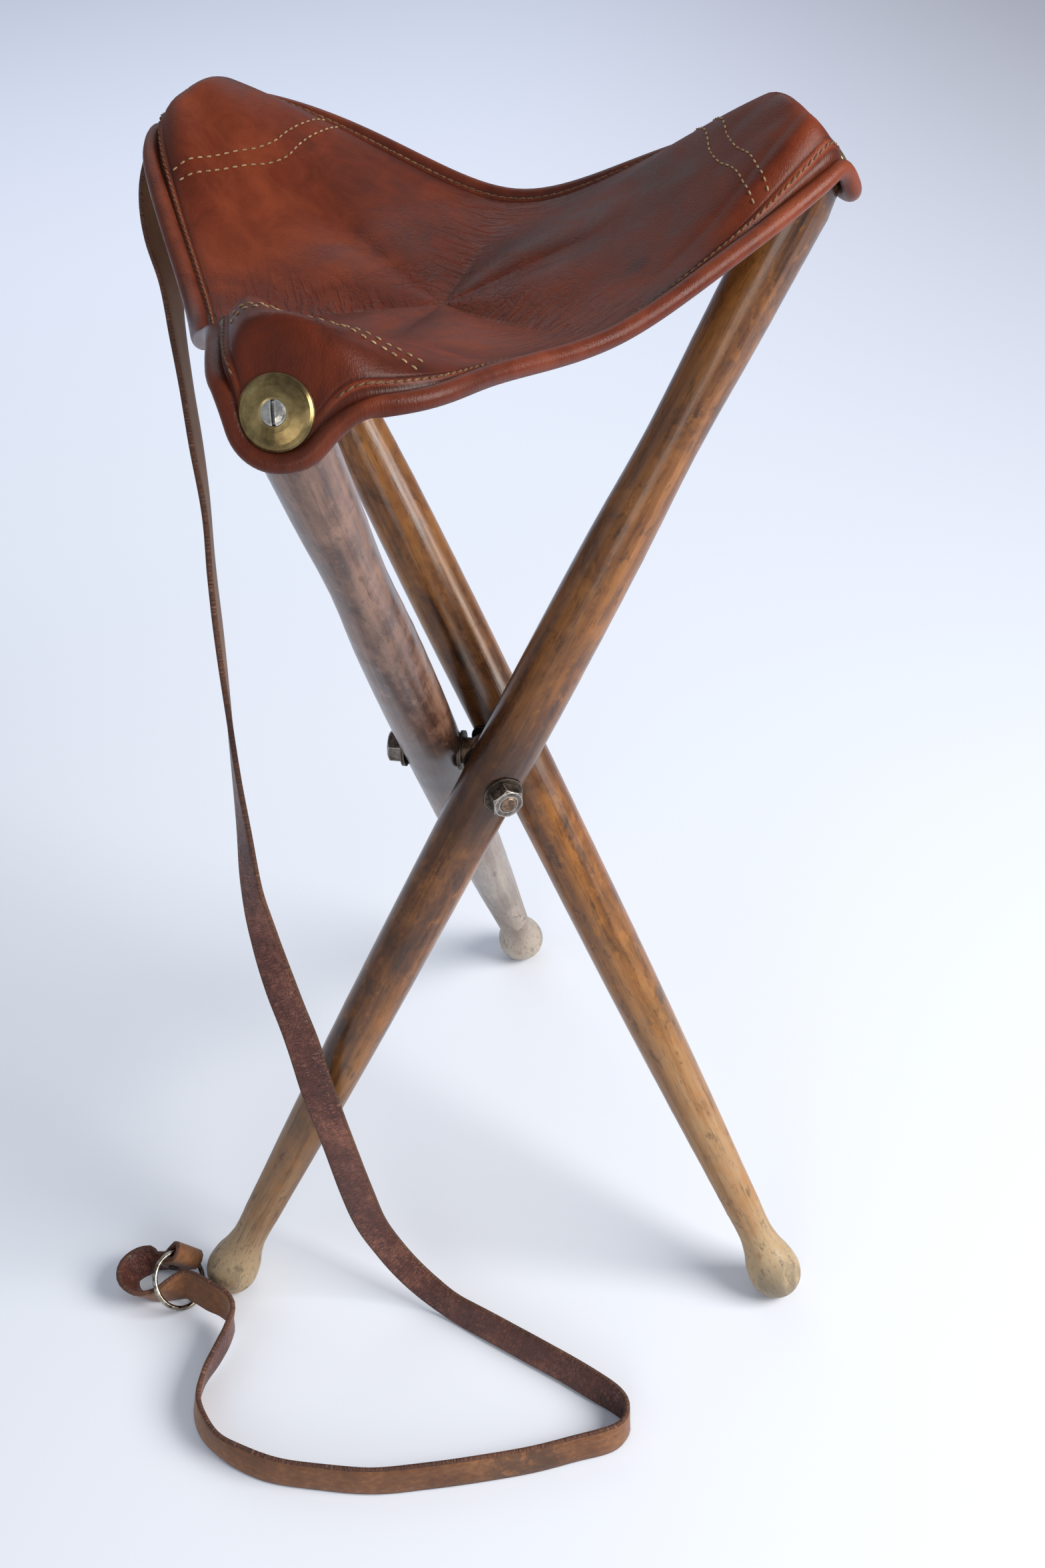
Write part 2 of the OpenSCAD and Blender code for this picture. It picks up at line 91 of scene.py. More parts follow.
class Net:
    """A small builder for node materials."""

    def __init__(self, name):
        self.mat = bpy.data.materials.new(name)
        self.mat.use_nodes = True
        self.t = self.mat.node_tree
        self.t.nodes.clear()
        self.out = self.t.nodes.new("ShaderNodeOutputMaterial")
        self.bsdf = self.t.nodes.new("ShaderNodeBsdfPrincipled")
        self.t.links.new(self.bsdf.outputs[0], self.out.inputs[0])

    def node(self, kind, out=0, props=None, **ins):
        n = self.t.nodes.new("ShaderNode" + kind)
        for k, v in (props or {}).items():
            setattr(n, k, v)
        for k, v in ins.items():
            key = k.replace("_", " ")
            if key.startswith("i") and key[1:].isdigit():
                s = n.inputs[int(key[1:])]
            else:
                s = n.inputs[key]
            self.put(s, v)
        return n.outputs[out]

    def put(self, socket, v):
        if isinstance(v, bpy.types.NodeSocket):
            self.t.links.new(v, socket)
        else:
            socket.default_value = v

    def set(self, **kw):
        for k, v in kw.items():
            self.put(self.bsdf.inputs[k.replace("_", " ")], v)
        return self

    def math(self, op, a, b=0.5):
        return self.node("Math", props={"operation": op}, i0=a, i1=b)

    def times(self, a, b):
        return self.math("MULTIPLY", a, b)

    def ramp(self, fac, stops):
        n = self.t.nodes.new("ShaderNodeValToRGB")
        e = n.color_ramp.elements
        while len(e) > 1:
            e.remove(e[0])
        e[0].position, e[0].color = stops[0]
        for p, c in stops[1:]:
            x = e.new(p)
            x.color = c
        self.put(n.inputs[0], fac)
        return n.outputs[0]

    def range(self, v, a, b, c=0.0, d=1.0):
        return self.node("MapRange", props={"interpolation_type": "SMOOTHSTEP"},
                         i0=v, i1=a, i2=b, i3=c, i4=d)

    def noise(self, vec, scale, detail=4, rough=0.55, dist=0.0, out=0):
        return self.node("TexNoise", out, Vector=vec, Scale=scale, Detail=detail, Roughness=rough,
                         Distortion=dist)

    def voronoi(self, vec, scale, feature="F1"):
        return self.node("TexVoronoi", 0, {"feature": feature}, Vector=vec, Scale=scale)

    def mix(self, fac, a, b, mode="MIX"):
        n = self.t.nodes.new("ShaderNodeMix")
        n.data_type, n.blend_type = "RGBA", mode
        self.put(n.inputs[0], fac)
        self.put(n.inputs[6], a)
        self.put(n.inputs[7], b)
        return n.outputs[2]

    def vmul(self, v, xyz):
        return self.node("VectorMath", props={"operation": "MULTIPLY"}, i0=v, i1=xyz)

    def bend(self, co, noise, by):
        """The coordinates pushed aside by a noise's colour."""
        return self.node("VectorMath", props={"operation": "MULTIPLY_ADD"}, i0=noise, i1=by, i2=co)

    def bump(self, height, strength, distance, normal=None):
        ins = {"Strength": strength, "Distance": distance, "Height": height}
        if normal is not None:
            ins["Normal"] = normal
        return self.node("Bump", **ins)

    def objco(self):
        return self.node("TexCoord", 3)

    def uv(self):
        return self.node("TexCoord", 2)

    def attr(self, name):
        return self.node("Attribute", 2, {"attribute_name": name})


# ---------------------------------------------------------------- materials
def leather_mat(name, base, dark, light, rough=0.4, wrinkles=True):
    n = Net(name)
    co = n.uv()
    big = n.noise(co, 11, 5, 0.6, 0.4)
    mid = n.noise(co, 55, 6, 0.65, 0.6)
    fine = n.noise(co, 420, 4, 0.6)
    tone = n.math("ADD", n.times(big, 0.62), n.times(mid, 0.38))
    col = n.ramp(tone, [(0.34, dark), (0.5, base), (0.66, light)])
    speck = n.voronoi(co, 46, "F1")
    spots = n.times(n.range(speck, 0.30, 0.10), n.range(n.noise(co, 17, 2), 0.52, 0.62))
    col = n.mix(n.times(spots, 0.55), col, lin(46, 24, 20))
    col = n.mix(n.range(fine, 0.62, 0.80, 0.0, 0.22), col, light)
    worn = n.attr("worn")
    painted_shade = n.attr("painted_shade")
    col = n.mix(n.times(worn, n.range(mid, 0.35, 0.65, 0.35, 1.0)), col, lin(150, 74, 46))
    # painted shade: darkened by the attribute's amount, in the welt's grooves, along the seams,
    # under the roll and on the underside
    col = n.mix(n.times(painted_shade, 0.88), col, lin(38, 16, 12))
    cells = n.voronoi(co, 900, "DISTANCE_TO_EDGE")
    grain = n.math("ADD", n.range(cells, 0.0, 0.25), n.times(fine, 0.8))
    nrm = n.bump(grain, 0.22, 0.00022)
    if wrinkles:
        bent = n.bend(co, n.noise(co, 70, 3, out=1), (0.016, 0.016, 0.0))
        net = n.range(n.voronoi(bent, 250, "DISTANCE_TO_EDGE"), 0.0, 0.16)
        patchy = n.range(n.noise(co, 60, 3), 0.42, 0.58)
        gap = n.times(n.math("SUBTRACT", 1.0, net), n.times(n.attr("crease"), patchy))
        nrm = n.bump(n.math("SUBTRACT", 1.0, gap), 0.36, 0.0005, nrm)
        lay = n.node("CombineXYZ", X=n.attr("along"), Y=n.attr("across"))
        gather = n.noise(n.vmul(lay, (330, 62, 1)), 1.0, 3, 0.5, 0.5)
        gather = n.times(n.range(gather, 0.44, 0.60), n.attr("valley"))
        nrm = n.bump(gather, 0.5, 0.0012, nrm)
        # painted shade: the wrinkles' cracks are darkened
        col = n.mix(n.times(gap, 0.35), col, dark)
    nrm = n.bump(mid, 0.12, 0.0012, nrm)
    n.set(Base_Color=col, Roughness=n.range(mid, 0.3, 0.7, rough - 0.07, rough + 0.10), Normal=nrm)
    n.set(Specular_IOR_Level=0.17, Coat_Weight=0.02, Coat_Roughness=0.30)
    return n.mat


def thread_mat(name, dark, base, light):
    n = Net(name)
    co = n.objco()
    f = n.noise(co, 900, 3)
    col = n.ramp(f, [(0.3, dark), (0.55, base), (0.8, light)])
    n.set(Base_Color=col, Roughness=0.8, Normal=n.bump(f, 0.4, 0.0002))
    return n.mat


def strap_mat(name, cols, rough, flesh=False, stain=False):
    n = Net(name)
    co = n.uv()
    big = n.noise(co, 24, 4, 0.6)
    fibre = n.noise(n.vmul(co, (260, 460, 1)), 1.0, 5, 0.65) if flesh else n.noise(co, 260, 5, 0.65)
    tone = n.math("ADD", n.times(big, 0.6), n.times(fibre, 0.4))
    col = n.ramp(tone, [(0.34, cols[0]), (0.5, cols[1]), (0.66, cols[2])])
    sep = n.node("SeparateXYZ", 0, i0=co)
    if stain:
        # a dark stain on the part that lies on the floor
        span = n.times(n.range(sep, 0.742, 0.752), n.range(sep, 0.790, 0.776))
        stained = n.times(span, n.range(n.noise(co, 150, 3), 0.36, 0.52))
        col = n.mix(n.times(stained, 0.55), col, lin(52, 42, 38))
    if flesh:
        # the flesh side is darker and greener where the strap hangs
        col = n.mix(n.range(sep, 0.34, 0.16, 0.0, 0.75), col, lin(92, 62, 36))
        nrm = n.bump(fibre, 0.5, 0.0003)
    else:
        cross = n.noise(n.vmul(co, (260, 60, 1)), 1.0, 4, 0.6, 0.8)
        cut = n.range(n.math("ABSOLUTE", n.math("SUBTRACT", cross, 0.5)), 0.0, 0.05)
        nrm = n.bump(cut, 0.5, 0.0005)
        nrm = n.bump(fibre, 0.3, 0.0004, nrm)
        # short wrinkles, rubbed pale on their crests
        folds = n.voronoi(n.vmul(co, (1.5, 0.8, 1)), 400, "DISTANCE_TO_EDGE")
        worn = n.range(n.noise(co, 40, 3), 0.42, 0.60)
        nrm = n.bump(n.range(folds, 0.0, 0.14), 0.55, 0.0006, nrm)
        col = n.mix(n.times(n.range(folds, 0.18, 0.40), n.times(worn, 0.42)), col,
                    lin(158, 112, 92))
        col = n.mix(n.range(fibre, 0.60, 0.72, 0.0, 0.45), col, cols[2])
    n.set(Base_Color=col, Roughness=n.range(fibre, 0.3, 0.7, rough - 0.08, rough + 0.08),
          Normal=nrm)
    n.set(Specular_IOR_Level=0.25 if flesh else 0.45)
    if flesh:
        n.set(Sheen_Weight=0.25, Sheen_Roughness=0.5)
    return n.mat


def wood_mat(name, k, upper, streak, lower, foot, scuff, lo=-0.05, hi=-0.26):
    n = Net(name)
    rot = Matrix.Rotation(math.radians(SPLAY), 4, "X") \
        @ Matrix.Rotation(math.radians(-AZ[k]), 4, "Z")
    pivot = Vector(HUB * MM) + Vector((math.cos(rad(AZ[k])), math.sin(rad(AZ[k])), 0)) * ARM * MM
    mp = n.t.nodes.new("ShaderNodeMapping")
    mp.vector_type = "POINT"
    n.put(mp.inputs["Vector"], n.objco())
    mp.inputs["Rotation"].default_value = rot.to_euler("XYZ")
    mp.inputs["Location"].default_value = -(rot @ pivot)
    co = mp.outputs[0]
    z = n.node("SeparateXYZ", 2, i0=co)
    wob = n.noise(n.vmul(co, (1, 1, 0.5)), 30, 3, out=1)
    co2 = n.bend(co, wob, (0.004, 0.004, 0.0))
    long = n.noise(n.vmul(co2, (150, 150, 5)), 1.0, 6, 0.62, 0.3)
    veins = n.noise(n.vmul(co2, (620, 620, 16)), 1.0, 4, 0.6)
    pores = n.noise(n.vmul(co2, (1500, 1500, 90)), 1.0, 2, 0.5)
    blot = n.noise(n.vmul(co, (44, 44, 24)), 1.0, 6, 0.68, 0.9)
    rings = n.noise(n.vmul(co, (8, 8, 60)), 1.0, 4, 0.6, 0.4)
    tone = n.math("ADD", n.times(long, 0.5), n.times(blot, 0.5))
    dark = n.ramp(tone, [(0.36, streak), (0.47, upper), (0.62, scuff)])
    pale = n.ramp(tone, [(0.34, lin(104, 78, 56)), (0.46, lower), (0.64, foot)])
    edge = n.math("ADD", z, n.times(n.math("SUBTRACT", blot, 0.5), 0.26))
    edge = n.math("ADD", edge, n.times(n.math("SUBTRACT", rings, 0.5), 0.07))
    col = n.mix(n.range(edge, lo, hi), dark, pale)
    col = n.mix(n.range(z, -0.270, -0.312), col, foot)
    col = n.mix(n.range(veins, 0.56, 0.70, 0.0, 0.55), col, n.mix(0.6, col, streak, "MULTIPLY"))
    col = n.mix(n.range(pores, 0.60, 0.72, 0.0, 0.5), col, lin(48, 30, 20))
    # small pale and dark flecks across the grain
    flecks = n.noise(n.vmul(co, (190, 190, 100)), 1.0, 4, 0.7)
    col = n.mix(n.range(flecks, 0.54, 0.68, 0.0, 0.50), col, scuff)
    col = n.mix(n.range(flecks, 0.44, 0.32, 0.0, 0.50), col, streak)
    # darker round the hub, where the legs cross, and small dark nicks
    hub = n.times(n.range(z, 0.050, 0.014), n.range(z, -0.050, -0.014))
    col = n.mix(n.times(hub, 0.62), col, lin(46, 28, 20))
    nicks = n.voronoi(n.vmul(co, (90, 90, 34)), 1.0, "F1")
    col = n.mix(n.range(nicks, 0.13, 0.05, 0.0, 0.5), col, lin(44, 28, 20))
    # dirt on the ball of the foot
    dirt = n.times(n.range(z, -0.296, -0.318), n.range(blot, 0.46, 0.58))
    col = n.mix(n.times(dirt, 0.7), col, lin(108, 98, 84))
    h = n.math("ADD", n.times(veins, 0.7), n.times(blot, 0.6))
    nrm = n.bump(h, 0.30, 0.0006)
    rough = n.range(z, -0.16, -0.29, 0.30, 0.62)
    rough = n.math("ADD", rough, n.times(n.math("SUBTRACT", blot, 0.5), 0.35))
    n.set(Base_Color=col, Roughness=rough, Normal=nrm)
    n.set(Specular_IOR_Level=0.5, Coat_Weight=0.22, Coat_Roughness=0.22)
    return n.mat


def metal_mat(name, a, b, c, rough, metal=1.0, scale=160, bumpy=0.15, edge=None, dark=None):
    n = Net(name)
    co = n.objco()
    f = n.noise(co, scale, 6, 0.65, 0.5)
    g = n.noise(co, scale * 5, 4, 0.6)
    tone = n.math("ADD", n.times(f, 0.7), n.times(g, 0.3))
    col = n.ramp(tone, [(0.36, a), (0.5, b), (0.64, c)])
    # painted highlight: the bevelled edges are lightened towards this colour, as if they caught the
    # light
    if edge is not None:
        bev = n.node("Bevel", Radius=0.0009)
        geo = n.node("NewGeometry", 1)
        dot = n.node("VectorMath", 1, {"operation": "DOT_PRODUCT"}, i0=bev, i1=geo)
        rim = n.range(dot, 0.995, 0.93)
        col = n.mix(n.times(rim, 0.85), col, edge)
    # painted shade: hollows and gaps found by an occlusion node darken towards this colour
    if dark is not None:
        ao = n.node("AmbientOcclusion", 1, {"samples": 8}, Distance=0.003)
        col = n.mix(n.range(ao, 0.75, 0.25, 0.0, 0.8), col, dark)
    n.set(Base_Color=col, Roughness=n.range(f, 0.3, 0.7, rough - 0.08, rough + 0.12),
          Metallic=metal, Normal=n.bump(g, bumpy, 0.0003))
    return n.mat


LEATHER_MAT = leather_mat("seat_leather_mat", lin(100, 40, 20), lin(60, 25, 15), lin(128, 57, 29))
ROLL_MAT = leather_mat("edge_leather_mat", lin(94, 40, 23), lin(58, 26, 18), lin(124, 60, 36),
                       0.34, False)
FLESH_MAT = leather_mat("seat_flesh_mat", lin(120, 78, 50), lin(86, 54, 36), lin(150, 104, 70),
                        0.75, False)
THREAD = thread_mat("stitch_thread", lin(112, 88, 60), lin(160, 132, 96), lin(198, 176, 140))
WELT_THREAD = thread_mat("welt_thread", lin(66, 42, 28), lin(112, 78, 50), lin(158, 122, 84))
STRAP_GRAIN = strap_mat("strap_grain_mat", (lin(62, 34, 30), lin(96, 54, 44), lin(150, 96, 76)),
                        0.40)
STRAP_FLESH = strap_mat("strap_flesh_mat", (lin(82, 50, 32), lin(118, 76, 48), lin(156, 108, 70)),
                        0.85, True, True)
STRAP_EDGE = strap_mat("strap_edge_mat", (lin(60, 34, 24), lin(86, 52, 36), lin(112, 72, 50)), 0.6)


# ---------------------------------------------------------------- mesh helpers
def new_mesh(name, verts, faces, mats, face_mats=None, uvs=None, attrs=None):
    me = bpy.data.meshes.new(name)
    me.from_pydata([tuple(v) for v in np.asarray(verts) * MM], [], faces)
    me.update()
    for m in mats:
        me.materials.append(m)
    if face_mats is not None:
        me.polygons.foreach_set("material_index", np.asarray(face_mats, np.int32))
    me.polygons.foreach_set("use_smooth", np.full(len(me.polygons), True))
    if uvs is not None:
        layer = me.uv_layers.new(name="UVMap")
        idx = np.empty(len(me.loops), np.int32)
        me.loops.foreach_get("vertex_index", idx)
        layer.data.foreach_set("uv", np.asarray(uvs, np.float32)[idx].ravel())
    for k, v in (attrs or {}).items():
        a = me.attributes.new(k, "FLOAT", "POINT")
        a.data.foreach_set("value", np.asarray(v, np.float32))
    ob = bpy.data.objects.new(name, me)
    scene.collection.objects.link(ob)
    return ob


def spline(pts, step):
    """Points a fixed step apart on a smooth curve through pts; every column is carried along."""
    p = np.asarray(pts, float)
    out = []
    for i in range(len(p) - 1):
        a, b, c, d = p[max(i - 1, 0)], p[i], p[i + 1], p[min(i + 2, len(p) - 1)]
        t = np.linspace(0, 1, 24, endpoint=False)[:, None]
        out.append(b + (c - a) * t / 2 + (2 * a - 5 * b + 4 * c - d) * t ** 2 / 2
                   + (3 * b - a - 3 * c + d) * t ** 3 / 2)
    q = np.vstack(out + [p[-1:]])
    s = np.concatenate([[0], np.cumsum(np.linalg.norm(np.diff(q[:, :3], axis=0), axis=1))])
    n = max(2, int(round(s[-1] / step)))
    u = np.linspace(0, s[-1], n + 1)
    return np.stack([np.interp(u, s, q[:, j]) for j in range(q.shape[1])], 1), u


def unit(v):
    return v / np.linalg.norm(v, axis=-1, keepdims=True)


# ---------------------------------------------------------------- strap
# its centre line, hanging from corner B and then lying on the floor: x, y, z in the frame (mm),
# then the direction of its width
DROP = [[-122, 114, 528, -7, -7, 0], [-132, 114, 521, -7, -7, 0], [-137, 111, 510, -7, -7, 0],
  [-139, 106, 499, -6, -8, 0], [-138, 100, 487, -5, -8, 0], [-134, 91, 472, -3, -9, 0],
  [-132, 80, 453, -1, -10, 0], [-129, 68, 433, 0, -10, 0], [-126, 56, 411, 0, -10, 0],
  [-123, 43, 386, 1, -10, 0], [-122, 30, 360, 1, -10, 0], [-120, 16, 333, 1, -10, 0],
  [-118, 3, 306, 2, -10, 0], [-116, -10, 279, 3, -9, 0], [-114, -21, 255, 5, -9, 0],
  [-112, -33, 229, 7, -7, 0], [-107, -44, 206, 9, -4, 0], [-100, -56, 185, 10, -2, 0],
  [-92, -67, 163, 10, -1, 0], [-86, -76, 139, 10, 0, 0], [-79, -82, 109, 10, 0, 0],
  [-73, -84, 74, 10, 1, 0]]
LAY = [[-68, -85, 50, 10, 1, 2], [-60, -87, 32, 9, 1, 4], [-51, -91, 20, 7, 2, 7],
  [-40, -97, 12, 4, 3, 9], [-27, -105, 8, 2, 3, 9], [-9, -116, 8, 2, 4, 9],
  [9, -127, 8, 2, 4, 9], [27, -138, 8, 2, 4, 9], [42, -148, 8, 2, 4, 9],
  [53, -156, 8, 1, 3, 9], [58, -163, 8, 0, 2, 9], [57, -171, 8, 0, 1, 9],
  [50, -177, 8, 0, 2, 9], [34, -182, 8, 0, 2, 9], [14, -188, 8, 0, 2, 9],
  [-10, -193, 8, 0, 2, 9], [-34, -197, 8, 0, 2, 9], [-60, -200, 8, 0, 2, 9],
  [-87, -198, 8, 0, 2, 9], [-107, -195, 8, 1, 2, 9], [-123, -189, 8, 1, 2, 9],
  [-135, -182, 8, 1, 1, 9], [-144, -172, 8, 2, 1, 9], [-149, -160, 8, 2, 0, 9],
  [-148, -147, 9, 2, 0, 9], [-143, -135, 11, 1, 1, 9], [-139, -124, 13, 1, 2, 9],
  [-138, -115, 15, 1, 3, 9], [-143, -108, 15, 1, 4, 8], [-151, -103, 14, 1, 5, 8],
  [-158, -98, 13, 1, 5, 8], [-165, -94, 11, 1, 4, 8], [-172, -95, 9, 0, 1, 9],
  [-180, -98, 8, -1, -3, 9], [-188, -98, 8, -4, -4, 8], [-195, -93, 8, -6, -1, 8],
  [-197, -85, 8, -5, 2, 8], [-193, -79, 8, -4, 4, 8], [-186, -76, 8, -5, 2, 8],
  [-181, -77, 8, -6, 0, 7]]
RING_R, WIRE_R = 14.0, 1.3
ring_low = unit(np.array([0.59, -0.27, -0.76]))
ring_side = np.array([0.42, 0.91, 0.0])
ring_side = unit(ring_side - ring_low * ring_low.dot(ring_side))
ring_up = np.cross(ring_low, ring_side)
ring_at = np.array([-169, -92, (RING_R + WIRE_R) * 0.76 + 0.6])
ring_out = unit(np.array([0.12, 0.94, 0.33]))
fold_w = unit(np.array([-0.71, -0.15, 0.69]))
fold_t = unit(ring_up * np.sign(ring_up[2]) * 0.977 + 0.212 * ring_out)
fold_e = unit(np.cross(fold_w, fold_t))
STRAP_W, STRAP_T = 16.0, 2.6
sag = RING_R - math.sqrt(RING_R ** 2 - (STRAP_W / 2) ** 2)
eye_r = WIRE_R + AIR + sag / 2 + STRAP_T / 2
eye_at = ring_at + RING_R * ring_out - sag / 2 * fold_e
lap = STRAP_T / 2 + AIR


def fold_pt(e, t):
    return list(eye_at + e * fold_e + t * fold_t) + list(10 * fold_w)


FOLD = [fold_pt(lap, -9), fold_pt((lap + eye_r) / 2, -4)] \
    + [fold_pt(eye_r * math.cos(rad(a)), eye_r * math.sin(rad(a))) for a in range(0, 181, 30)] \
    + [fold_pt(-(lap + eye_r) / 2, -4), fold_pt(-lap, -9), fold_pt(-lap, -13)]
# the points above were drawn for a corner and a foot that stood here, and move with them
TIP_WAS, FOOT_WAS = np.array([-123.4, 111.5, 526.7]), np.array([-142.35, -84.55, 0.0])
DROP_LOW, DROP_RISE = 74, 455
roll_end = R_W + CORNER * math.cos(TILT) + ROLL
tip_move = np.array([roll_end * math.cos(rad(TOP_AZ[1])) - MID[0],
                     roll_end * math.sin(rad(TOP_AZ[1])) - MID[1],
                     SIDE_Z - CORNER * math.sin(TILT)]) - TIP_WAS
foot_move = np.array([R_F * math.cos(rad(210)) - MID[0],
                      R_F * math.sin(rad(210)) - MID[1], 0.0]) - FOOT_WAS
line = []
for p in DROP:
    u = (p[2] - DROP_LOW) / DROP_RISE
    line.append(list(np.array(p[:3]) + tip_move * u + foot_move * (1 - u)) + list(p[3:]))
for p in LAY + FOLD:
    line.append(list(np.array(p[:3]) + foot_move) + list(p[3:]))
line = np.array(line, float)
line[:, 3:] = unit(line[:, 3:]) * 10
STRAP_FACE, STRAP_BACK, STRAP_CUT = range(3)


def make_strap():
    q, s = spline(line, 2.6)
    p = q[:, :3]
    t = unit(np.gradient(p, axis=0))
    w = q[:, 3:] - t * (q[:, 3:] * t).sum(1, keepdims=True)
    w = unit(w)
    n = np.cross(t, w)
    hw, ht = STRAP_W / 2, STRAP_T / 2
    quarter = [(hw, 0.35), (hw - 0.35, 0.95), (hw - 1.1, ht), (hw * 0.4, ht)]
    half = quarter + [(-a, b) for a, b in quarter[::-1]]
    prof = half + [(a, -b) for a, b in half[::-1]]
    m = len(prof)
    rng = np.random.default_rng(4)
    wav = np.interp(s, np.linspace(0, s[-1], 90), rng.normal(0, 0.08, 90))
    verts, uvs = [], []
    for i in range(len(p)):
        for a, b in prof:
            k = (hw + wav[i]) / hw if abs(a) > hw - 1.2 else 1
            verts.append(p[i] + a * k * w[i] + b * n[i])
            uvs.append((s[i] * MM, a * MM))
    faces, mats = [], []
    for i in range(len(p) - 1):
        for j in range(m):
            k = (j + 1) % m
            faces.append((i * m + j, i * m + k, (i + 1) * m + k, (i + 1) * m + j))
            mats.append(STRAP_FACE if 2 <= j <= 4 else STRAP_BACK if 10 <= j <= 12 else STRAP_CUT)
    faces.append(tuple(range(m))[::-1])
    faces.append(tuple((len(p) - 1) * m + j for j in range(m)))
    mats += [STRAP_CUT, STRAP_CUT]
    ob = new_mesh("carrying_strap", verts, faces, [STRAP_GRAIN, STRAP_FLESH, STRAP_EDGE], mats, uvs)
    return ob, p, s[-1]


strap, strap_path, strap_len = make_strap()
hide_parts("strap")
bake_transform(strap)


# ---------------------------------------------------------------- seat
def rim(d, c):
    d = np.asarray(d, float)
    arc = np.degrees(np.arctan2(c * math.sin(rad(60)), R_W + c * math.cos(rad(60))))
    inner = np.maximum(c * c - (R_W * np.sin(rad(d))) ** 2, 0)
    return np.where(np.abs(d) <= arc, R_W * np.cos(rad(d)) + np.sqrt(inner),
                    (R_W * math.cos(rad(60)) + c) / np.cos(rad(60 - np.abs(d))))


SIDE_DROP, DISH, CREST, LIFT = 27.0, 37.0, 30.0, 3.0
FOLD_IN, FOLD_SOFT = CUP + 11.5, 10.0
# how steeply the dish rises, where along the radius the crest starts and over what share it rises,
# and how sharply it falls off to the sides
DISH_POW, CREST_FROM, CREST_OVER, CREST_POW = 1.8, 0.33, 0.53, 1.3
# a corner's own bumps fade to nothing over this angle before its borders, which are shared
BORDER, BORDER_FADE = 60, 25
LEAN = math.radians(90 - top_turn)
# how each corner's fold differs from the even one: bumps of (height, angle and its spread,
# share of the radius and its spread)
LUMPS = {0: [(9, 3, 24, 0.82, 0.16), (6, -10, 9, 0.91, 0.09)],
         1: [(-7, 0, 26, 0.85, 0.16), (7, 12, 11, 0.86, 0.11), (4, -12, 12, 0.84, 0.12)],
         2: [(8, -6, 22, 0.78, 0.15), (14, -23, 14, 0.86, 0.22)]}
# how much higher the middle of each side lies than the even one's (a to b, b to c, c to a)
SIDES = (-6.0, 0.0, 10.0)
# each fold runs in a straight ridge to the middle: heights, the share of the radius it spans,
# and how sharply it falls off to the sides
RIDGE, RIDGE_END, RIDGE_POW = (10.0, 4.0, 10.0), 0.8, 1.6
# how far a corner's outline is drawn sideways: (distance, angle, spread)
DRAWN = {0: [], 1: [], 2: [(6, -23, 15), (5, 17, 9)]}
DRAWN_FROM, DRAWN_OVER = 0.7, 0.25


def ease(t):
    u = np.clip(t, 0, 1)
    return u * u * (3 - 2 * u)


def surf(x, y, k):
    """Seat top over the flat leather's point, in a corner's own frame (+X toward the corner)."""
    r, d = np.hypot(x, y), np.degrees(np.arctan2(y, x))
    q = r / rim(d, CORNER)
    g = (1 + np.cos(rad(3 * d))) / 2
    u, v = x - R_W, y
    s = u * math.cos(LEAN) + v * math.sin(LEAN)
    m = (s - FOLD_IN + np.sqrt((s + FOLD_IN) ** 2 + FOLD_SOFT ** 2)) / 2
    w = (math.cos(TILT) - 1) * m * ease((q - 0.25) * 2) * g
    u, v = u + w * math.cos(LEAN), v + w * math.sin(LEAN)
    down = SIDE_Z - math.tan(TILT) * (u * math.cos(LEAN) + v * math.sin(LEAN))
    f = y * math.sqrt(3) / (R_W + 2 * CORNER - x)
    z = SIDE_Z - DISH + (DISH - SIDE_DROP + (SIDE_DROP + LIFT) * g) * q ** DISH_POW \
        + CREST * ease((x / R_W - CREST_FROM) / CREST_OVER) * np.maximum(1 - f * f, 0) ** CREST_POW
    z = z + np.where(d > 0, SIDES[k], SIDES[k - 1]) * (1 - g) * q ** DISH_POW
    z = z + RIDGE[k] * np.sin(np.pi * np.clip(q / RIDGE_END, 0, 1)) \
        * np.maximum(1 - (np.abs(d) / BORDER) ** RIDGE_POW, 0)
    inside = ease((BORDER - np.abs(d)) / BORDER_FADE)
    for h, d0, dw, q0, qw in LUMPS[k]:
        z = z + h * np.exp(-((d - d0) / dw) ** 2 - ((q - q0) / qw) ** 2) * inside
    z = np.minimum(z, down) - np.maximum(FOLD_SOFT - np.abs(z - down), 0) ** 2 / (4 * FOLD_SOFT)
    for h, d0, dw in DRAWN[k]:
        v = v + h * np.exp(-((d - d0) / dw) ** 2) \
            * ease((q - DRAWN_FROM) / DRAWN_OVER) * inside
    return np.stack([u + R_W, v, z], -1)


def surf_n(x, y, k):
    h = 0.4
    a = surf(x + h, y, k) - surf(x - h, y, k)
    b = surf(x, y + h, k) - surf(x, y - h, k)
    return unit(np.cross(a, b))


def outline(c, n_arc=20, n_side=34):
    """Half-corner to half-corner: plan points at deltas from -60 to 60 on the outline c."""
    arc = [(R_W + c * math.cos(rad(a)), c * math.sin(rad(a)))
           for a in np.linspace(-60, 60, n_arc + 1)]
    h = R_W * math.cos(rad(60)) + c
    e0 = R_W * math.sin(rad(60))
    side = []
    for i in range(1, n_side + 1):
        e = e0 * (1 - i / n_side)
        r, a = math.hypot(h, e), 60 - math.degrees(math.atan2(e, h))
        side.append((r * math.cos(rad(a)), r * math.sin(rad(a))))
    return np.array([(x, -y) for x, y in side[::-1]] + arc + side)


base_line = outline(CORNER)
WELT_IN = 7.2
inner_line = outline(CORNER - WELT_IN)
N = len(base_line)


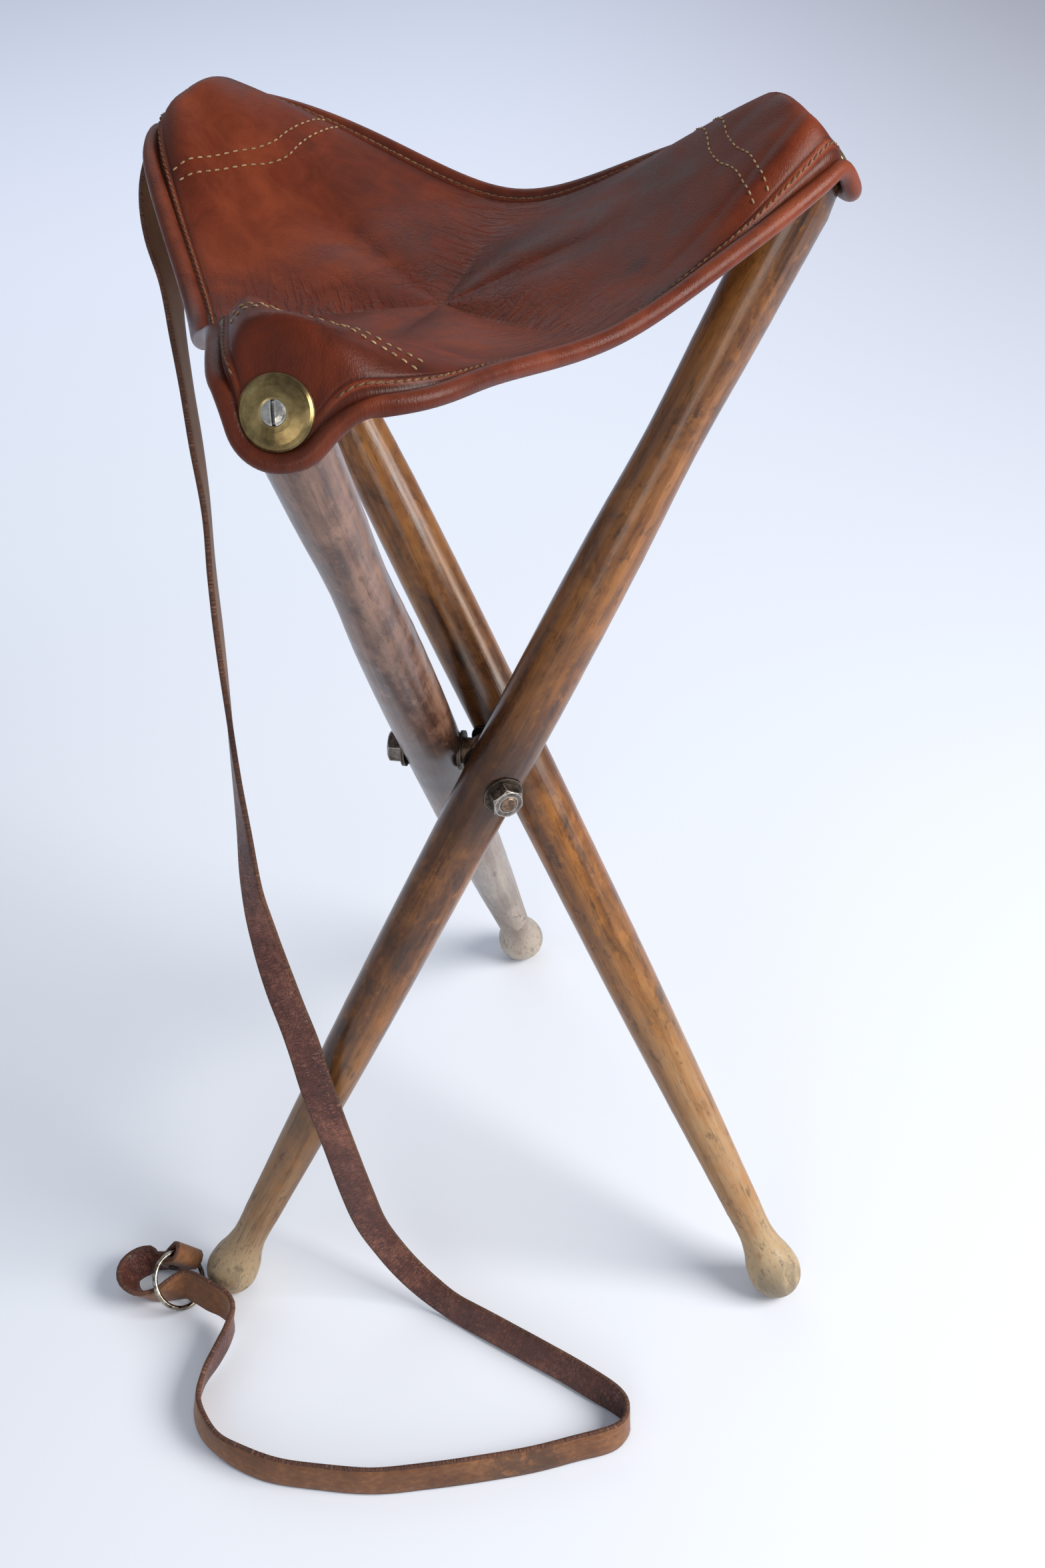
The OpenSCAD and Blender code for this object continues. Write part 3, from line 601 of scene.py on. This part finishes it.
def plan_dir():
    """Outward direction at each station of the base outline."""
    out = []
    for x, y in base_line:
        d = math.degrees(math.atan2(y, x))
        arc = math.degrees(math.atan2(CORNER * math.sin(rad(60)), R_W + CORNER * math.cos(rad(60))))
        if abs(d) <= arc + 1e-6:
            v = np.array([x - R_W, y])
            out.append(v / np.linalg.norm(v))
        else:
            a = rad(math.copysign(60, d))
            out.append(np.array([math.cos(a), math.sin(a)]))
    return np.array(out)


OUT2 = plan_dir()
dist_w = np.hypot(base_line[:, 0] - R_W, base_line[:, 1])
# the stitched welt fades out under the domed washer
WELT_FROM, WELT_OVER = 16.8, 7
WELT = ease((dist_w - WELT_FROM) / WELT_OVER)


def edge_at(o, k):
    xy = base_line + o * OUT2
    p, n = surf(xy[:, 0], xy[:, 1], k), surf_n(xy[:, 0], xy[:, 1], k)
    a = xy + 0.4 * OUT2
    b = xy - 0.4 * OUT2
    out = surf(a[:, 0], a[:, 1], k) - surf(b[:, 0], b[:, 1], k)
    out = unit(out - n * (out * n).sum(1, keepdims=True))
    return p, n, out


QS = np.concatenate([np.linspace(0.03, 0.6, 16), np.linspace(0.63, 1, 26)])
# where the welt's thread runs: offset from the outline, height
THREAD_AT, THREAD_UP = -4.75, 0.55
# the welt's rings: offset from the outline, height beside the washer and along the sides,
# painted shade along the sides (darkest in the groove), painted shade added all round, wear
EDGE = [(-6.7, 0.0, -0.06, 0.3, 0.0, 0.0), (-6.25, -0.1, -0.40, 0.75, 0.0, 0.0),
        (-5.8, 0.0, -0.05, 0.3, 0.0, 0.0), (-5.35, 0.0, 0.42, 0.15, 0.0, 0.35),
        (THREAD_AT, 0.0, THREAD_UP, 0.15, 0.0, 0.35), (-4.2, 0.0, 0.40, 0.15, 0.0, 0.35),
        (-3.8, 0.0, 0.0, 0.4, 0.0, 0.0), (-3.5, -0.1, -0.1, 0.4, 0.2, 0.0)]
ROLL_A = list(range(152, -185, -14))
ON_TOP, ON_WELT, ON_ROLL, BELOW = range(4)
GRAIN_SIDE, ROLLED, FLESH_SIDE = range(3)


def build_rings(k):
    """Rings of N points each, from the middle of the top, over the roll, to the middle below."""
    rings, painted_shade, worn, kinds = [], [], [], []
    for q in QS:
        xy = inner_line * q
        rings.append(surf(xy[:, 0], xy[:, 1], k))
        # painted shade: the top darkens over its outer edge, where it meets the welt
        painted_shade.append(np.full(N, 0.35 * np.clip((q - 0.955) / 0.045, 0, 1)))
        worn.append(np.zeros(N))
        kinds.append(ON_TOP)
    for o, h0, h1, deep, added, rubbed in EDGE:
        p, nrm, _ = edge_at(o, k)
        h = h0 * (1 - WELT) + h1 * WELT
        rings.append(p + h[:, None] * nrm)
        # painted shade in the welt's rings: its share along the sides, a fixed share beside the
        # washer, plus the amount added all round
        painted_shade.append(deep * WELT + 0.3 * (1 - WELT) + added)
        worn.append(np.full(N, rubbed))
        kinds.append(ON_WELT)
    p, nrm, out = edge_at(0, k)
    for a in ROLL_A:
        up, outward = ROLL * math.sin(rad(a)) - 0.4 * ROLL, ROLL * math.cos(rad(a))
        rings.append(p + up * nrm + outward * out)
        # painted shade: darker where the roll meets the welt and on its underside
        painted_shade.append(np.full(N, 0.4 if a > 140 else 0.1 if a > -40 else 0.3))
        worn.append(np.full(N, math.exp(-((a - 66) / 34) ** 2) * 0.3))
        kinds.append(ON_ROLL)
    for q in QS[::-1]:
        xy = inner_line * q
        rings.append(surf(xy[:, 0], xy[:, 1], k) - LEATHER * surf_n(xy[:, 0], xy[:, 1], k))
        # painted shade: the underside is darkened evenly
        painted_shade.append(np.full(N, 0.2))
        worn.append(np.zeros(N))
        kinds.append(BELOW)
    return np.array(rings), np.array(painted_shade), np.array(worn), kinds


BUILT = [build_rings(k) for k in range(3)]
KINDS = BUILT[0][3]
M = len(KINDS)
top_c = np.array([0, 0, SIDE_Z - DISH])
low_c = top_c - [0, 0, LEATHER]


def turn(p, k):
    a = rad(TOP_AZ[k])
    c, s = math.cos(a), math.sin(a)
    p = np.asarray(p, float)
    x, y = p[..., 0], p[..., 1]
    return np.stack([x * c - y * s, x * s + y * c, p[..., 2]], -1) - MID


# the network's radius; the valleys' half-width in degrees, and the radii they run between
CREASE_R, VALLEY_WIDE, VALLEY_IN, VALLEY_OUT = 50, 30, 26, 92


def crease_of(p):
    """Wrinkles: a network in the middle, gathers across the valleys, and the valleys' axes."""
    r, d = np.hypot(p[..., 0], p[..., 1]), np.degrees(np.arctan2(p[..., 1], p[..., 0]))
    off = BORDER - np.abs(d)
    spread = np.clip(1 - off / VALLEY_WIDE, 0, 1)
    return {"crease": np.exp(-(r / CREASE_R) ** 2),
            "valley": spread * np.clip(r / VALLEY_IN, 0, 1) * np.exp(-(r / VALLEY_OUT) ** 4),
            "along": r * np.cos(rad(off)) * MM, "across": r * np.sin(rad(off)) * np.sign(d) * MM}


full_verts = np.concatenate([turn(BUILT[k][0], k)[:, :-1] for k in range(3)], 1)
NF = full_verts.shape[1]
tmp_faces = [(i * NF + j, i * NF + (j + 1) % NF, (i + 1) * NF + (j + 1) % NF, (i + 1) * NF + j)
             for i in range(M - 1) for j in range(NF)]
tmp = bpy.data.meshes.new("tmp")
tmp.from_pydata([tuple(v) for v in (full_verts * MM).reshape(-1, 3)], [], tmp_faces)
tmp.update()
nv = np.empty(len(tmp.vertices) * 3, np.float32)
tmp.vertex_normals.foreach_get("vector", nv)
nv = nv.reshape(M, NF, 3)
# the top's normals point up, and every sector's faces follow them
A_TOP_RING = 5
FLIP = bool(nv[A_TOP_RING, 0, 2] < 0)
if FLIP:
    nv = -nv
bpy.data.meshes.remove(tmp)


def make_sector(k, letter):
    rings, painted_shade, worn, _ = BUILT[k]
    v = turn(rings, k).reshape(-1, 3)
    c_top, c_low = turn(top_c, k), turn(low_c, k)
    verts = np.vstack([v, c_top, c_low])
    faces, mats = [], []
    for i in range(M - 1):
        kind = max(KINDS[i], KINDS[i + 1])
        mi = GRAIN_SIDE if kind <= ON_WELT else ROLLED if kind == ON_ROLL else FLESH_SIDE
        for j in range(N - 1):
            f = (i * N + j, i * N + j + 1, (i + 1) * N + j + 1, (i + 1) * N + j)
            faces.append(f[::-1] if FLIP else f)
            mats.append(mi)
    ct, cl = M * N, M * N + 1
    for j in range(N - 1):
        f = (ct, j + 1, j)
        faces.append(f[::-1] if FLIP else f)
        mats.append(GRAIN_SIDE)
        f = (cl, (M - 1) * N + j, (M - 1) * N + j + 1)
        faces.append(f[::-1] if FLIP else f)
        mats.append(FLESH_SIDE)
    # the two cut borders close the sector, so it is one solid piece of leather
    nq = len(QS)
    for j, flip in ((0, FLIP), (N - 1, not FLIP)):
        caps = [(i * N + j, (i + 1) * N + j, (M - 2 - i) * N + j, (M - 1 - i) * N + j)
                for i in range(nq - 1)]
        caps.append((ct, j, (M - 1) * N + j, cl))
        caps.append(tuple(i * N + j for i in range(nq - 1, M - nq + 1)))
        for f in caps:
            faces.append(f[::-1] if flip else f)
            mats.append(FLESH_SIDE)
    uvs = verts[:, :2] * MM
    painted_shade = np.concatenate([painted_shade.ravel(), [0, 0]])
    worn = np.concatenate([worn.ravel(), [0, 0]])
    lines = {a: np.concatenate([w.ravel(), [a == "crease"] * 2])
             for a, w in crease_of(rings).items()}
    ob = new_mesh("seat_" + letter, verts, faces, [LEATHER_MAT, ROLL_MAT, FLESH_MAT], mats, uvs,
                  {"painted_shade": painted_shade, "worn": worn, **lines})
    idx = (np.arange(N) + k * (N - 1)) % NF
    nn = np.concatenate([nv[:, idx].reshape(-1, 3), [[0, 0, 1], [0, 0, -1]]])
    ob.data.normals_split_custom_set_from_vertices([tuple(x) for x in nn])
    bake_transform(ob)
    return ob


# stitches: short rounded lengths of thread laid on the leather
THREAD_R, THREAD_SIDES = 0.42, 6
WELT_PITCH, WELT_STITCH, WELT_SLANT = 3.3, 3.1, 0.22
ROW_PITCH, ROW_STITCH, ROW_UP = 3.7, 2.1, 0.12


def capsule(p, d, nrm, length, r, verts, faces):
    side = np.cross(nrm, d)
    base = len(verts)
    stations = [(-0.5, 0.35), (-0.36, 0.86), (0.0, 1.0), (0.36, 0.86), (0.5, 0.35)]
    for t, s in stations:
        lift = 0.30 * r * math.cos(math.pi * t)
        for a in range(0, 360, 360 // THREAD_SIDES):
            verts.append(p + d * length * t + nrm * lift
                         + s * r * (math.cos(rad(a)) * side + math.sin(rad(a)) * nrm))
    m = THREAD_SIDES
    for i in range(len(stations) - 1):
        for j in range(m):
            k = (j + 1) % m
            faces.append((base + i * m + j, base + i * m + k, base + (i + 1) * m + k,
                          base + (i + 1) * m + j))
    faces.append(tuple(base + j for j in range(m))[::-1])
    faces.append(tuple(base + (len(stations) - 1) * m + j for j in range(m)))


def walk(points, normals, pitch, start=0.0):
    s = np.concatenate([[0], np.cumsum(np.linalg.norm(np.diff(points, axis=0), axis=1))])
    for u in np.arange(start, s[-1], pitch):
        p = np.array([np.interp(u, s, points[:, j]) for j in range(3)])
        q = np.array([np.interp(min(u + 0.5, s[-1]), s, points[:, j]) for j in range(3)])
        n = unit(np.array([np.interp(u, s, normals[:, j]) for j in range(3)]))
        if np.linalg.norm(q - p) > 1e-6:
            yield p, unit(q - p), n


ROW_HALF = 62


def row_arc(radius, bow):
    """A stitch row across a corner: an arc about the screw, bowed towards it."""
    pts = []
    for a in np.linspace(-1, 1, 61):
        y = a * ROW_HALF
        x = R_W - radius + bow * (1 - a * a)
        r, d = math.hypot(x, y), math.degrees(math.atan2(y, x))
        if abs(d) < 59 and r < float(rim(np.array(d), CORNER - WELT_IN)) - 0.5:
            pts.append((x, y))
    return np.array(pts)


def make_stitches(k, letter):
    verts, faces = [], []
    # along the welt
    p, nrm, _ = edge_at(THREAD_AT, k)
    welt = p + THREAD_UP * nrm
    keep = np.where(WELT > 0.5)[0]
    groups = np.split(keep, np.where(np.diff(keep) > 1)[0] + 1)
    for g in groups:
        for p, d, n in walk(welt[g], nrm[g], WELT_PITCH, 0.8):
            slanted = unit(d + WELT_SLANT * np.cross(n, d))
            capsule(p, slanted, n, WELT_STITCH, THREAD_R, verts, faces)
    n_welt = len(faces)
    # two rows across the corner
    first, second, bow = ROWS[k]
    for radius in (first, second):
        xy = row_arc(radius, bow)
        p, n = surf(xy[:, 0], xy[:, 1], k), surf_n(xy[:, 0], xy[:, 1], k)
        for q, d, m in walk(p, n, ROW_PITCH, 0.6):
            capsule(q + ROW_UP * m, d, m, ROW_STITCH, THREAD_R, verts, faces)
    ob = new_mesh("stitching_" + letter, turn(np.array(verts), k), faces, [WELT_THREAD, THREAD],
                  [0] * n_welt + [1] * (len(faces) - n_welt))
    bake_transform(ob)
    return ob


# how far each corner's two rows lie from its screw, and how they bow
ROWS = ((38.0, 44.0, -10.0), (31.0, 37.0, -26.0), (33.0, 39.0, -6.0))
for k, letter in enumerate("abc"):
    make_sector(k, letter)
    make_stitches(k, letter)
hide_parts("seat_leather", "edge_roll")

# ---------------------------------------------------------------- finishes of the CAD nodes
WOODS = [
    wood_mat("wood_a", 0, lin(100, 60, 28), lin(42, 24, 14), lin(138, 100, 62), lin(168, 144, 110),
             lin(150, 96, 42), -0.11, -0.33),
    wood_mat("wood_b", 1, lin(124, 76, 34), lin(52, 30, 15), lin(162, 118, 72), lin(178, 154, 118),
             lin(170, 112, 50), -0.05, -0.30),
    wood_mat("wood_c", 2, lin(86, 55, 40), lin(44, 28, 22), lin(126, 108, 92), lin(178, 164, 148),
             lin(140, 104, 84), -0.06, -0.16),
]
DARK_STEEL = metal_mat("dark_steel_mat", lin(40, 36, 34), lin(70, 62, 56), lin(112, 98, 84), 0.42,
                       0.9, 220, 0.3, edge=lin(150, 140, 126))
HUB_STEEL = metal_mat("hub_steel_mat", lin(58, 46, 40), lin(104, 84, 70), lin(160, 132, 108), 0.48,
                      0.9, 180, 0.4, edge=lin(160, 148, 130))
NUT_STEEL = metal_mat("nut_steel_mat", lin(58, 50, 46), lin(106, 97, 90), lin(154, 146, 138), 0.32,
                      0.95, 260, 0.25, edge=lin(226, 222, 212), dark=lin(46, 36, 28))
BRASS = metal_mat("brass_mat", lin(104, 86, 56), lin(136, 116, 76), lin(164, 144, 98), 0.30, 0.95,
                  90, 0.10, edge=lin(224, 202, 148), dark=lin(50, 38, 22))
SCREW_STEEL = metal_mat("screw_steel_mat", lin(142, 138, 130), lin(172, 168, 160),
                        lin(198, 194, 186), 0.28, 1.0, 300, 0.2,
                        edge=lin(240, 238, 232), dark=lin(36, 30, 26))
RING_STEEL = metal_mat("ring_steel_mat", lin(70, 64, 56), lin(150, 142, 130), lin(206, 200, 188),
                       0.26, 1.0, 240, 0.25)
RIVET_STEEL = metal_mat("rivet_steel_mat", lin(34, 26, 22), lin(58, 46, 38), lin(96, 80, 66),
                        0.5, 0.8, 240, 0.3)
PATCH = leather_mat("patch_leather_mat", lin(78, 42, 28), lin(48, 26, 20), lin(106, 62, 42),
                    0.6, False)


def finish_node(name, mat):
    o = nodes[name]
    o.data.materials.clear()
    o.data.materials.append(mat)


for k, letter in enumerate("abc"):
    finish_node("leg_" + letter, WOODS[k])
    finish_node("patch_" + letter, PATCH)
    finish_node("cup_washer_" + letter, BRASS)
    finish_node("screw_" + letter, SCREW_STEEL)
    finish_node("inner_washer_" + letter, DARK_STEEL)
    finish_node("outer_washer_" + letter, DARK_STEEL)
    finish_node("nut_" + letter, NUT_STEEL)
finish_node("hub", HUB_STEEL)
finish_node("strap_ring", RING_STEEL)
finish_node("strap_rivet", RIVET_STEEL)

# ---------------------------------------------------------------- floor and light
net = Net("floor_mat")
co = net.objco()
sep = net.t.nodes.new("ShaderNodeSeparateXYZ")
net.put(sep.inputs[0], co)
far = net.range(sep.outputs[1], 0.1, 2.2)
rgt = net.range(sep.outputs[0], -0.2, 0.9)
# painted light and shade on the floor: palest near the stool on the left, greyer to the right and
# far off, darkest and warmer far to the right
near = net.mix(net.times(rgt, 0.8), lin(240, 244, 252), lin(206, 211, 226))
col = net.mix(far, near, lin(226, 230, 244))
col = net.mix(net.times(net.times(far, rgt), 0.85), col, lin(168, 162, 166))
net.set(Base_Color=col, Roughness=0.75, Specular_IOR_Level=0.2)
me = bpy.data.meshes.new("floor")
FLOOR_X, FLOOR_NEAR, FLOOR_FAR = 5, -3, 6
me.from_pydata([(-FLOOR_X, FLOOR_NEAR, 0), (FLOOR_X, FLOOR_NEAR, 0), (FLOOR_X, FLOOR_FAR, 0),
                (-FLOOR_X, FLOOR_FAR, 0)], [], [(0, 1, 2, 3)])
me.materials.append(net.mat)
floor = bpy.data.objects.new("floor", me)
scene.collection.objects.link(floor)

world = bpy.data.worlds.new("studio")
scene.world = world
world.use_nodes = True
bg = world.node_tree.nodes["Background"]
bg.inputs[0].default_value = (0.80, 0.88, 1.0, 1)
bg.inputs[1].default_value = 0.36


def area_light(name, at, to, size, size_y, power, color):
    d = bpy.data.lights.new(name, "AREA")
    d.shape, d.size, d.size_y, d.energy, d.color = "RECTANGLE", size, size_y, power, color
    o = bpy.data.objects.new(name, d)
    o.location = at
    o.rotation_euler = (Vector(to) - Vector(at)).to_track_quat("-Z", "Y").to_euler()
    scene.collection.objects.link(o)


area_light("key", (1.25, -0.35, 1.05), (0, 0, 0.25), 0.9, 0.9, 30, (1.0, 0.97, 0.93))
area_light("fill", (-1.5, -0.9, 1.4), (0, 0, 0.3), 1.6, 1.6, 3, (0.86, 0.92, 1.0))
area_light("front", (-0.15, -1.9, 0.75), (-0.05, 0, 0.5), 0.8, 0.8, 6, (1.0, 0.96, 0.92))
area_light("back", (-0.5, 1.6, 1.5), (0, 0, 0.4), 1.8, 1.2, 5, (0.92, 0.95, 1.0))
# lights only the floor behind the stool
area_light("backdrop", (-0.3, 0.9, 1.6), (-0.3, 2.6, 0.54), 2.0, 0.5, 16, (0.90, 0.94, 1.0))
scene.view_settings.view_transform = "Standard"
